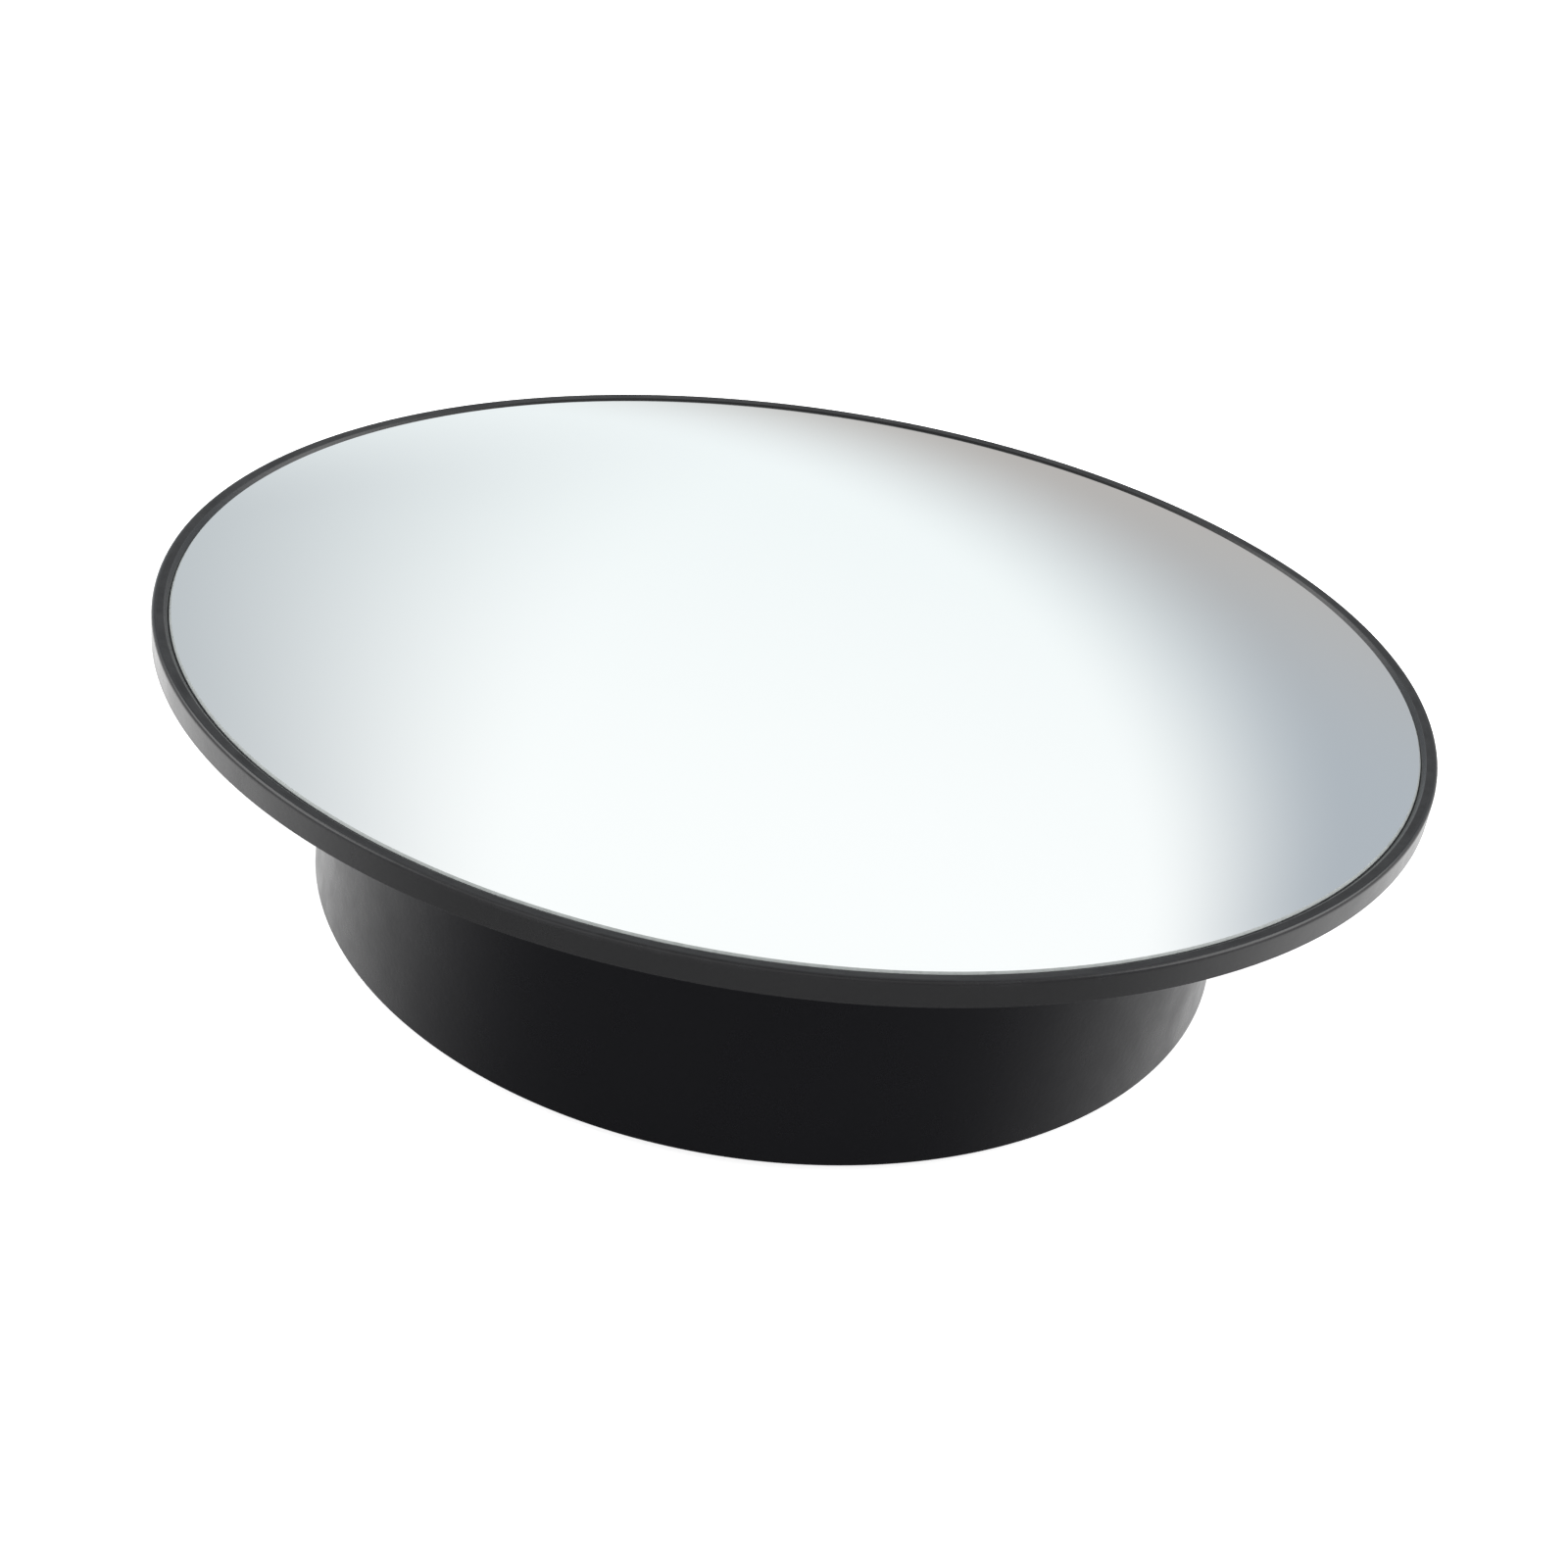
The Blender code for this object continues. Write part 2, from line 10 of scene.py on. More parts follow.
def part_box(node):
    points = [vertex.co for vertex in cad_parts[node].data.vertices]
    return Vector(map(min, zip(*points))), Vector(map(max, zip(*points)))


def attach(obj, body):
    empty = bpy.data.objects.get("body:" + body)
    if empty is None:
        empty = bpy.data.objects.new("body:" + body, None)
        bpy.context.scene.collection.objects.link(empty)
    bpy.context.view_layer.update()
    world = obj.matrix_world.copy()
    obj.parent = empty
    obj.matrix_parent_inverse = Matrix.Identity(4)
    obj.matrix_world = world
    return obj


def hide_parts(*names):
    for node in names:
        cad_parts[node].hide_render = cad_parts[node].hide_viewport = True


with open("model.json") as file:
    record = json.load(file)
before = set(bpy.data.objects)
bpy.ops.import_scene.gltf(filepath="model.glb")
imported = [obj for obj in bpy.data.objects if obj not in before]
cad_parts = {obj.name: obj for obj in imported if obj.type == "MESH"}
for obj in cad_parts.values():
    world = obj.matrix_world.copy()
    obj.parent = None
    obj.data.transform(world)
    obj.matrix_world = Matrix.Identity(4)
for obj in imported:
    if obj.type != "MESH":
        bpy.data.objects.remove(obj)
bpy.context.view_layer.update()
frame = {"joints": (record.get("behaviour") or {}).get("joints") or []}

MM = 0.001

# ---------------------------------------------------------------- sizes, from the frame

TILT_JOINT = next(joint for joint in frame["joints"] if joint["name"] == "tilt")
PIVOT = Vector(TILT_JOINT["pos_m"])
REST_TILT = math.radians(TILT_JOINT["range_deg"][1]) / 2      # the hinge's range is even about level
HEAD = Matrix.Translation(PIVOT) @ Matrix.Rotation(-REST_TILT, 4, "X")
WORLD = Matrix.Identity(4)


def node_radius(node):
    low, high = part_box(node)
    return (high.x - low.x) / 2


def node_heights(node):
    low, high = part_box(node)
    return low.z, high.z


LIP_RADIUS = node_radius("bezel_ring")
GLASS_RADIUS = node_radius("mirror_glass")
DRUM_RADIUS = node_radius("drum_shell")
DRUM_BOTTOM, DRUM_TOP = node_heights("drum_shell")
PLATE_RADIUS = node_radius("base_plate")
PAD_RADIUS = node_radius("adhesive_pad")
PAD_TOP = node_heights("adhesive_pad")[1]

# Head, along its own axis from the hinge
LIP_HEIGHT = 8.0 * MM
DOME_RADIUS = 200.0 * MM
GLASS_THICKNESS = 1.2 * MM
RING_DEPTH = 2.1 * MM
RING_TAPER = 0.2 * MM
LIP_RISE = 0.03 * MM
LIP_CHAMFER_WIDTH = 0.36 * MM
LIP_CHAMFER_DROP = 0.25 * MM
SEAM = 0.12 * MM                        # width of the ground edge round the mirror's face
SHELL_UNDER_DEPTH = 2.9 * MM
SHELL_INNER_DEPTH = 3.5 * MM
SHELL_PAD_DEPTH = 2.3 * MM
SHELL_TOP_DEPTH = 1.5 * MM
SHELL_PAD_RADIUS = 28.3 * MM
RING_BORE = GLASS_RADIUS + 0.05 * MM
DRUM_WALL = 1.8 * MM
FLOOR_BOTTOM = 4.4 * MM
FLOOR_TOP = 5.9 * MM
POST_RADIUS = 4.0 * MM
POST_BORE = 4.3 * MM
PLATE_TOP = 3.0 * MM
SCREW_HOLE = 1.7 * MM                   # radius of the hole down the post
SCREW_HOLE_BOTTOM = 2.2 * MM
SPRING_THICKNESS = 0.4 * MM
BRACKET_SCREWS = [f"bracket_screw_{i}" for i in range(1, 5)]
BRACKET_HOLE = 1.3 * MM
BRACKET_THICKNESS = 1.0 * MM
BRACKET_CORNER = 2.5 * MM
BRACKET_OPENING = 7.6 * MM
EAR_X = 11.7 * MM                       # middle of each ear
EAR_THICKNESS = 1.8 * MM
EAR_RADIUS = 4.0 * MM
LUG_X = 8.3 * MM
LUG_THICKNESS = 2.2 * MM
LUG_RADIUS = 3.6 * MM
PIN_RADIUS = 1.5 * MM
PIN_BORE = 1.8 * MM
GROOVE_RADIUS = 1.0 * MM
SKIRT_RADIUS = DRUM_RADIUS - DRUM_WALL - 0.5 * MM
SKIRT_THICKNESS = 1.2 * MM
SKIRT_END = math.radians(-2.0)

DOME_CENTRE = LIP_HEIGHT - math.sqrt(DOME_RADIUS ** 2 - GLASS_RADIUS ** 2)

GAP = 0.3 * MM                          # clearance between pieces that touch
PAD_RIM_SETBACK = 0.12 * MM             # how far in the foam disc's faces stop short of its rim
PAD_RIM_SHOULDER = 0.03 * MM
CLIP_CLEARANCE = 0.15 * MM              # between the clip and each wall of the pin's groove

LATHE_STEPS = 256
SMALL_STEPS = 96                        # for washers, the spring and the pin
SCREW_STEPS = 64
SUPPORT = 1.3                           # support points lie this many fillet lengths from a corner
WELD = 0.001 * MM                       # points nearer than this are merged after a boolean

# Materials of the pieces that have more than one
LIP_MATERIAL = 1
EDGE_MATERIAL = 1
BACK_MATERIAL = 2
# Cosines to the head's axis: a face of the glass below the first is its back, one of the frame above the
# second is its flat lip
FACES_BACK = 0.3
FACES_FRONT = 0.98


# ---------------------------------------------------------------- profiles

def dome(radius, depth):
    """Height above the hinge of the surface that lies depth under the mirror's face."""
    return DOME_CENTRE + math.sqrt((DOME_RADIUS - depth) ** 2 - radius ** 2)


def dome_arc(start, end, depth, steps):
    radii = [start + (end - start) * i / steps for i in range(steps + 1)]
    return [(radius, dome(radius, depth)) for radius in radii]


def circle_arc(radius, start, end, steps):
    angles = [start + (end - start) * i / steps for i in range(steps + 1)]
    return [(radius * math.cos(angle), radius * math.sin(angle)) for angle in angles]


def rounded(corners, steps=5, closed=True):
    """Outline from (radius, height, fillet) corners; each fillet is an arc with a support point either side.

    The third value of each point is 1 on an arc, where hands rub the edge, and 0 elsewhere.
    """
    points = []
    count = len(corners)
    for i, (x, y, fillet) in enumerate(corners):
        here = Vector((x, y))
        at_end = not closed and i in (0, count - 1)
        if fillet == 0 or at_end:
            points.append((x, y, 0.0))
            continue
        before = (Vector(corners[i - 1][:2]) - here).normalized()
        after = (Vector(corners[(i + 1) % count][:2]) - here).normalized()
        half = before.angle(after) / 2
        reach = fillet / math.tan(half)
        centre = here + (before + after).normalized() * fillet / math.sin(half)
        start = here + before * reach - centre
        end = here + after * reach - centre
        sweep = start.angle_signed(end)
        points.append((*(here + before * reach * SUPPORT), 0.0))
        for k in range(steps + 1):
            arm = start.copy()
            arm.rotate(Matrix.Rotation(-sweep * k / steps, 2))
            points.append((*(centre + arm), 1.0))
        points.append((*(here + after * reach * SUPPORT), 0.0))
    return points


# ---------------------------------------------------------------- meshes

def lathe(name, profile, matrix=WORLD, ring=False, steps=LATHE_STEPS, sharp=30):
    """Solid of revolution about Z, placed by matrix; points at radius 0 become poles.

    A profile point is (radius, height) or (radius, height, wear); the wear goes into the "edge" attribute.
    """
    verts, rows, wear = [], [], []
    for radius, height, *rubbed in profile:
        copies = 1 if radius < 1e-7 else steps
        rows.append([len(verts) + k % copies for k in range(steps)])
        for k in range(copies):
            turn = 2 * math.pi * k / steps
            verts.append((radius * math.cos(turn), radius * math.sin(turn), height))
        wear += [sum(rubbed)] * copies
    faces = []
    pairs = list(zip(rows, rows[1:] + rows[:1])) if ring else list(zip(rows, rows[1:]))
    for upper, lower in pairs:
        for k in range(steps):
            after = (k + 1) % steps
            corners = [upper[k], lower[k], lower[after], upper[after]]
            face = list(dict.fromkeys(corners))
            if len(face) > 2:
                faces.append(face)
    mesh = bpy.data.meshes.new(name)
    mesh.from_pydata(verts, [], faces)
    mesh.attributes.new("edge", "FLOAT", "POINT").data.foreach_set("value", wear)
    mesh.transform(matrix)
    mesh.validate()
    mesh.shade_smooth()
    mesh.set_sharp_from_angle(angle=math.radians(sharp))
    obj = bpy.data.objects.new(name, mesh)
    bpy.context.scene.collection.objects.link(obj)
    return obj


SIDEWAYS = Matrix(((0, 0, 1, 0), (1, 0, 0, 0), (0, 1, 0, 0), (0, 0, 0, 1)))     # Z to +X, Y to +Z


def rod(name, radius, length, matrix):
    half = length / 2
    return lathe(name, [(0.0, half), (radius, half), (radius, -half), (0.0, -half)], matrix, steps=64)


def prism(name, outline, thickness, matrix, bevel=0.0):
    """Plate from an anticlockwise outline in XY, centred on z = 0, its rims bevelled, placed by matrix."""
    half = thickness / 2
    work = bmesh.new()
    low = [work.verts.new((x, y, -half)) for x, y in outline]
    high = [work.verts.new((x, y, half)) for x, y in outline]
    work.faces.new(low[::-1])
    work.faces.new(high)
    for i, corner in enumerate(low):
        work.faces.new((low[i - 1], corner, high[i], high[i - 1]))
    if bevel:
        rims = [edge for edge in work.edges if abs(edge.verts[0].co.z - edge.verts[1].co.z) < half]
        bmesh.ops.bevel(work, geom=rims, offset=bevel, segments=2, profile=0.5, affect="EDGES")
    mesh = bpy.data.meshes.new(name)
    work.to_mesh(mesh)
    work.free()
    mesh.transform(matrix)
    obj = bpy.data.objects.new(name, mesh)
    bpy.context.scene.collection.objects.link(obj)
    return obj


def combine(obj, others, operation, sharp=30):
    """Join other solids to obj, or cut them out of it, and drop them."""
    for other in others:
        mod = obj.modifiers.new(other.name, "BOOLEAN")
        mod.operation = operation
        mod.object = other
    evaluated = obj.evaluated_get(bpy.context.evaluated_depsgraph_get())
    mesh = bpy.data.meshes.new_from_object(evaluated)
    obj.modifiers.clear()
    obj.data = mesh
    work = bmesh.new()
    work.from_mesh(mesh)
    bmesh.ops.triangulate(work, faces=[face for face in work.faces if len(face.verts) > 4])
    bmesh.ops.remove_doubles(work, verts=work.verts, dist=WELD)
    bmesh.ops.dissolve_degenerate(work, edges=work.edges, dist=WELD)
    work.to_mesh(mesh)
    work.free()
    mesh.shade_smooth()
    mesh.set_sharp_from_angle(angle=math.radians(sharp))
    for other in others:
        bpy.data.objects.remove(other, do_unlink=True)


def tongue_outline(radius, length):
    """Half round about the origin with sides running up +Y to length."""
    points = [(-x, -y) for x, y in circle_arc(radius, 0.0, math.pi, 32)]
    return points + [(radius, length), (-radius, length)]


# ---------------------------------------------------------------- node helpers

# Sockets of a mix node that mixes colours
MIX_FACTOR = 0
MIX_FIRST = 6
MIX_SECOND = 7
MIX_RESULT = 2


class Tree:
    """Short ways to add and link shader nodes."""

    def __init__(self, tree):
        self.tree = tree
        tree.nodes.clear()

    def add(self, kind, inputs=None, **settings):
        node = self.tree.nodes.new(kind)
        for key, value in settings.items():
            setattr(node, key, value)
        for key, value in (inputs or {}).items():
            self.put(node.inputs[key], value)
        return node

    def put(self, socket, value):
        if isinstance(value, bpy.types.NodeSocket):
            self.tree.links.new(value, socket)
        else:
            socket.default_value = value

    def math(self, operation, a, b=0.0):
        return self.add("ShaderNodeMath", {0: a, 1: b}, operation=operation).outputs[0]

    def ramp(self, value, low, high, out_low=0.0, out_high=1.0):
        """Smooth step from out_low at low to out_high at high, flat beyond them."""
        inputs = {"Value": value, "From Min": low, "From Max": high, "To Min": out_low, "To Max": out_high}
        return self.add("ShaderNodeMapRange", inputs, interpolation_type="SMOOTHSTEP").outputs["Result"]

    def mix(self, factor, first, second):
        inputs = {MIX_FACTOR: factor, MIX_FIRST: first, MIX_SECOND: second}
        return self.add("ShaderNodeMix", inputs, data_type="RGBA").outputs[MIX_RESULT]

    def noise(self, vector, scale, detail=4.0, rough=0.55):
        inputs = {"Vector": vector, "Scale": scale, "Detail": detail, "Roughness": rough}
        return self.add("ShaderNodeTexNoise", inputs).outputs["Fac"]


def new_material(name):
    mat = bpy.data.materials.new(name)
    mat.use_nodes = True
    tree = Tree(mat.node_tree)
    output = tree.add("ShaderNodeOutputMaterial")
    shader = tree.add("ShaderNodeBsdfPrincipled")
    tree.put(output.inputs["Surface"], shader.outputs["BSDF"])
    place = tree.add("ShaderNodeTexCoord").outputs["Object"]
    return mat, tree, shader, place


def grey(value):
    return (value, value, value, 1.0)


def roughen(tree, shader, height, strength, distance):
    bump = tree.add("ShaderNodeBump", {"Strength": strength, "Distance": distance, "Height": height})
    tree.put(shader.inputs["Normal"], bump.outputs["Normal"])


def shade(colour, factor):
    """A colour made darker or lighter, as a shader colour."""
    return (*[min(1.0, c * factor) for c in colour], 1.0)


def moulded_plastic(name, colour, roughness, level, grain=2400.0):
    """Black injection-moulded plastic: fine grain, clouded gloss, edges rubbed shiny, faint dust."""
    mat, tree, shader, place = new_material(name)
    cloud = tree.noise(place, 60.0, 4.0)
    fine = tree.noise(place, grain, 3.0)
    handling = tree.noise(place, 260.0, 5.0, 0.65)
    specks = tree.noise(place, 1300.0, 6.0, 0.75)
    dusty = tree.ramp(specks, 0.66, 0.84, 0.0, 0.03)
    edge = tree.add("ShaderNodeAttribute", attribute_name="edge").outputs["Fac"]
    rubbed = tree.math("MULTIPLY", edge, tree.ramp(handling, 0.38, 0.62, 0.15, 0.5))
    tone = tree.mix(cloud, shade(colour, 0.8), shade(colour, 1.2))
    tone = tree.mix(rubbed, tone, shade(colour, 1.9))
    tone = tree.mix(dusty, tone, (0.34, 0.335, 0.32, 1.0))
    tree.put(shader.inputs["Base Color"], tone)
    matt = tree.ramp(handling, 0.3, 0.7, roughness * 0.85, roughness * 1.15)
    matt = tree.math("SUBTRACT", matt, tree.math("MULTIPLY", rubbed, roughness * 0.4))
    tree.put(shader.inputs["Roughness"], tree.math("ADD", matt, dusty))
    shader.inputs["Specular IOR Level"].default_value = level
    roughen(tree, shader, fine, 0.3, 0.03 * MM)
    return mat


def mirror_face():
    """Silvered glass: a clean reflection with the faintest haze and a few specks of dust."""
    mat, tree, shader, place = new_material("silvered_glass")
    haze = tree.noise(place, 22.0, 3.0)
    specks = tree.noise(place, 1400.0, 5.0, 0.75)
    dusty = tree.ramp(specks, 0.70, 0.82, 0.0, 0.06)
    tint = tree.mix(haze, (0.93, 0.95, 0.94, 1.0), (0.95, 0.955, 0.955, 1.0))
    tone = tree.mix(dusty, tint, (0.6, 0.6, 0.6, 1.0))
    tree.put(shader.inputs["Base Color"], tone)
    shader.inputs["Metallic"].default_value = 1.0
    rough = tree.ramp(haze, 0.3, 0.75, 0.012, 0.03)
    tree.put(shader.inputs["Roughness"], tree.math("ADD", rough, dusty))
    return mat


def glass_edge():
    """Seamed edge of the glass: finely ground, with a green cast."""
    mat, tree, shader, place = new_material("ground_glass_edge")
    grind = tree.noise(place, 1800.0, 3.0)
    tone = tree.mix(grind, (0.33, 0.355, 0.345, 1.0), (0.55, 0.58, 0.57, 1.0))
    tree.put(shader.inputs["Base Color"], tone)
    tree.put(shader.inputs["Roughness"], tree.ramp(grind, 0.3, 0.7, 0.25, 0.45))
    roughen(tree, shader, grind, 0.4, 0.02 * MM)
    return mat


def backing_paint():
    mat, tree, shader, place = new_material("mirror_backing_paint")
    mottle = tree.noise(place, 260.0, 5.0)
    tree.put(shader.inputs["Base Color"], tree.mix(mottle, (0.09, 0.095, 0.1, 1.0), (0.15, 0.155, 0.16, 1.0)))
    tree.put(shader.inputs["Roughness"], tree.ramp(mottle, 0.3, 0.7, 0.5, 0.7))
    roughen(tree, shader, mottle, 0.3, 0.03 * MM)
    return mat


def foam_tape(name, colour):
    """Closed-cell foam: small pits, with a faint gloss of adhesive."""
    mat, tree, shader, place = new_material(name)
    cells = tree.add("ShaderNodeTexVoronoi", {"Vector": place, "Scale": 1500.0, "Randomness": 1.0})
    pits = tree.ramp(cells.outputs["Distance"], 0.0, 0.55)
    mottle = tree.noise(place, 130.0, 4.0)
    depth = tree.math("MULTIPLY", pits, mottle)
    tree.put(shader.inputs["Base Color"], tree.mix(depth, shade(colour, 1.3), shade(colour, 0.6)))
    tree.put(shader.inputs["Roughness"], tree.ramp(mottle, 0.35, 0.65, 0.45, 0.7))
    roughen(tree, shader, pits, 0.5, 0.08 * MM)
    return mat


def steel(name, colour, roughness, stretch=(1.0, 1.0, 12.0)):
    """Plated or bare steel: fine drawn lines, patchy tone."""
    mat, tree, shader, place = new_material(name)
    drawn = tree.add("ShaderNodeMapping", {"Vector": place, "Scale": stretch}).outputs["Vector"]
    lines = tree.noise(drawn, 700.0, 4.0)
    patches = tree.noise(place, 180.0, 3.0)
    tree.put(shader.inputs["Base Color"], tree.mix(patches, shade(colour, 0.8), shade(colour, 1.15)))
    shader.inputs["Metallic"].default_value = 1.0
    tree.put(shader.inputs["Roughness"], tree.ramp(lines, 0.3, 0.7, roughness * 0.75, roughness * 1.3))
    roughen(tree, shader, lines, 0.25, 0.01 * MM)
    return mat


def nylon(name):
    mat, tree, shader, place = new_material(name)
    mottle = tree.noise(place, 220.0, 4.0)
    tree.put(shader.inputs["Base Color"], tree.mix(mottle, (0.74, 0.72, 0.66, 1.0), (0.86, 0.85, 0.81, 1.0)))
    tree.put(shader.inputs["Roughness"], tree.ramp(mottle, 0.3, 0.7, 0.38, 0.55))
    shader.inputs["Subsurface Weight"].default_value = 0.1
    shader.inputs["Subsurface Scale"].default_value = 0.4 * MM
    roughen(tree, shader, mottle, 0.2, 0.02 * MM)
    return mat


# ---------------------------------------------------------------- pieces

def finish_piece(piece, node, body, mat):
    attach(piece, body)
    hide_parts(node)
    piece.data.materials.append(mat)


def build_mirror():
    """Domed glass; its face, ground edge and painted back are three materials of one piece."""
    face_end = GLASS_RADIUS - SEAM
    face = dome_arc(0.0, face_end, 0.0, 40)
    face.insert(-1, (face_end - 0.05 * MM, dome(face_end - 0.05 * MM, 0.0)))
    seam_top = dome(face_end, 0.0)
    edge = [(GLASS_RADIUS - 0.03 * MM, seam_top - SEAM), (GLASS_RADIUS, seam_top - SEAM - 0.06 * MM)]
    back = dome_arc(GLASS_RADIUS, 0.0, GLASS_THICKNESS, 24)
    mirror = lathe("mirror_glass_fine", face + edge + back, HEAD, sharp=15)
    finish_piece(mirror, "mirror_glass", "head", mirror_face())
    mirror.data.materials.append(glass_edge())
    mirror.data.materials.append(backing_paint())
    axis = HEAD.to_3x3() @ Vector((0, 0, 1))
    for polygon in mirror.data.polygons:
        offset = polygon.center - PIVOT
        height = offset.dot(axis)
        radius = (offset - axis * height).length
        if polygon.normal.dot(axis) < FACES_BACK:
            polygon.material_index = BACK_MATERIAL
        elif radius > face_end:
            polygon.material_index = EDGE_MATERIAL


def build_bezel():
    """Thin frame: flat lip, chamfer down to the glass, rounded outer edge, tapered side."""
    bottom = LIP_HEIGHT - RING_DEPTH
    lip = LIP_HEIGHT + LIP_RISE
    profile = rounded([
        (RING_BORE, lip - LIP_CHAMFER_DROP, 0.04 * MM),
        (RING_BORE + LIP_CHAMFER_WIDTH, lip, 0.1 * MM),
        (LIP_RADIUS, lip, 0.3 * MM),
        (LIP_RADIUS - RING_TAPER, bottom, 0.06 * MM),
        (RING_BORE, bottom, 0.08 * MM),
    ])
    bezel = lathe("bezel_ring_fine", profile, HEAD, ring=True)
    side = moulded_plastic("frame_plastic", (0.012, 0.012, 0.0128), 0.24, 0.57)
    finish_piece(bezel, "bezel_ring", "head", side)
    bezel.data.materials.append(moulded_plastic("frame_lip_plastic", (0.01, 0.01, 0.011), 0.5, 0.24))
    axis = HEAD.to_3x3() @ Vector((0, 0, 1))
    for polygon in bezel.data.polygons:
        if polygon.normal.dot(axis) > FACES_FRONT:
            polygon.material_index = LIP_MATERIAL


def skirt_angle(sphere, depth):
    shell = DOME_RADIUS - depth
    height = (sphere ** 2 - shell ** 2 + DOME_CENTRE ** 2) / (2 * DOME_CENTRE)
    return math.asin(height / sphere)


def build_back_shell():
    """Domed back: recess above, flat rim, a step and the round skirt below."""
    bottom = LIP_HEIGHT - RING_DEPTH + 0.1 * MM
    rim = RING_BORE - 0.005 * MM
    rim_inner = math.sqrt((DOME_RADIUS - SHELL_UNDER_DEPTH) ** 2 - (bottom - DOME_CENTRE) ** 2)
    inner_sphere = SKIRT_RADIUS - SKIRT_THICKNESS
    outer_top = skirt_angle(SKIRT_RADIUS, SHELL_UNDER_DEPTH)
    inner_top = skirt_angle(inner_sphere, SHELL_INNER_DEPTH)
    profile = dome_arc(0.0, SHELL_PAD_RADIUS, SHELL_PAD_DEPTH, 12)
    profile += dome_arc(SHELL_PAD_RADIUS, rim, SHELL_TOP_DEPTH, 12)
    profile.append((rim, bottom + 0.2 * MM))
    profile.append((rim - 0.2 * MM, bottom))
    profile += dome_arc(rim_inner, SKIRT_RADIUS * math.cos(outer_top), SHELL_UNDER_DEPTH, 8)
    profile += circle_arc(SKIRT_RADIUS, outer_top, SKIRT_END, 12)[1:]
    profile += circle_arc(inner_sphere, SKIRT_END, inner_top, 12)
    profile += dome_arc(inner_sphere * math.cos(inner_top), 0.0, SHELL_INNER_DEPTH, 10)[1:]
    shell = lathe("back_shell_fine", profile, HEAD)
    reach = dome(LUG_X, (SHELL_PAD_DEPTH + SHELL_INNER_DEPTH) / 2)
    lugs = []
    for side in (-1, 1):
        place = HEAD @ Matrix.Translation((side * LUG_X, 0, 0)) @ SIDEWAYS
        lugs.append(prism("lug", tongue_outline(LUG_RADIUS, reach), LUG_THICKNESS, place, 0.2 * MM))
    combine(shell, lugs, "UNION")
    combine(shell, [rod("bore", PIN_BORE, 4 * LUG_X, HEAD @ SIDEWAYS)], "DIFFERENCE")
    mat = moulded_plastic("shell_plastic", (0.014, 0.0142, 0.015), 0.4, 0.35, grain=1800.0)
    finish_piece(shell, "back_shell", "head", mat)


def screw_holes(height):
    """Cutters for the four bracket screws."""
    holes = []
    for node in BRACKET_SCREWS:
        low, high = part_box(node)
        middle = (low + high) / 2
        place = Matrix.Translation((middle.x, middle.y, height))
        holes.append(rod("hole", BRACKET_HOLE, 3 * BRACKET_THICKNESS, place))
    return holes


def build_drum():
    inner = DRUM_RADIUS - DRUM_WALL
    profile = rounded([
        (POST_BORE, FLOOR_TOP, 0),
        (inner, FLOOR_TOP, 0.4 * MM),
        (inner, DRUM_TOP, 0.3 * MM),
        (DRUM_RADIUS, DRUM_TOP, 0.35 * MM),
        (DRUM_RADIUS, DRUM_BOTTOM, 0.22 * MM),
        (inner, DRUM_BOTTOM, 0.25 * MM),
        (inner, FLOOR_BOTTOM, 0.4 * MM),
        (POST_BORE, FLOOR_BOTTOM, 0),
    ])
    drum = lathe("drum_shell_fine", profile, WORLD, ring=True)
    combine(drum, screw_holes((FLOOR_BOTTOM + FLOOR_TOP) / 2), "DIFFERENCE")
    # black plastic with a darker colour and weaker gloss than the frame's: painted shade for the shadow the
    # head casts over the drum
    mat = moulded_plastic("drum_plastic_painted_shade", (0.0044, 0.0044, 0.006), 0.3, 0.2)
    finish_piece(drum, "drum_shell", "drum", mat)


def build_adhesive_pad():
    """Die-cut foam disc with soft edges."""
    profile = rounded([
        (0.0, PAD_TOP, 0),
        (PAD_RADIUS, PAD_TOP, 0.15 * MM),
        (PAD_RADIUS, 0.0, 0.12 * MM),
        (0.0, 0.0, 0),
    ], closed=False)
    pad = lathe("adhesive_pad_fine", profile, WORLD)
    finish_piece(pad, "adhesive_pad", "base", foam_tape("adhesive_foam", (0.05, 0.05, 0.052)))


def build_glass_pad():
    """Foam disc that follows the dome, its rim a little bulged."""
    low_depth = SHELL_PAD_DEPTH - GAP
    top_depth = GLASS_THICKNESS + GAP
    radius = SHELL_PAD_RADIUS - GAP
    shoulder = radius - PAD_RIM_SHOULDER
    middle = (dome(radius, top_depth) + dome(radius, low_depth)) / 2
    profile = dome_arc(0.0, radius - PAD_RIM_SETBACK, top_depth, 16)
    profile.append((shoulder, middle + PAD_RIM_SETBACK))
    profile.append((radius, middle))
    profile.append((shoulder, middle - PAD_RIM_SETBACK))
    profile += dome_arc(radius - PAD_RIM_SETBACK, 0.0, low_depth, 16)
    pad = lathe("glass_pad_fine", profile, HEAD)
    finish_piece(pad, "glass_pad", "head", foam_tape("glass_foam", (0.3, 0.31, 0.32)))


def build_base_plate():
    bottom, post_top = node_heights("base_plate")
    profile = rounded([
        (0.0, SCREW_HOLE_BOTTOM, 0),
        (SCREW_HOLE, SCREW_HOLE_BOTTOM, 0),
        (SCREW_HOLE, post_top, 0.15 * MM),
        (POST_RADIUS, post_top, 0.25 * MM),
        (POST_RADIUS, PLATE_TOP, 0.3 * MM),
        (PLATE_RADIUS, PLATE_TOP, 0.3 * MM),
        (PLATE_RADIUS, bottom, 0.2 * MM),
        (0.0, bottom, 0),
    ], closed=False)
    plate = lathe("base_plate_fine", profile)
    mat = moulded_plastic("base_plastic", (0.016, 0.016, 0.0175), 0.42, 0.35, grain=1800.0)
    finish_piece(plate, "base_plate", "base", mat)


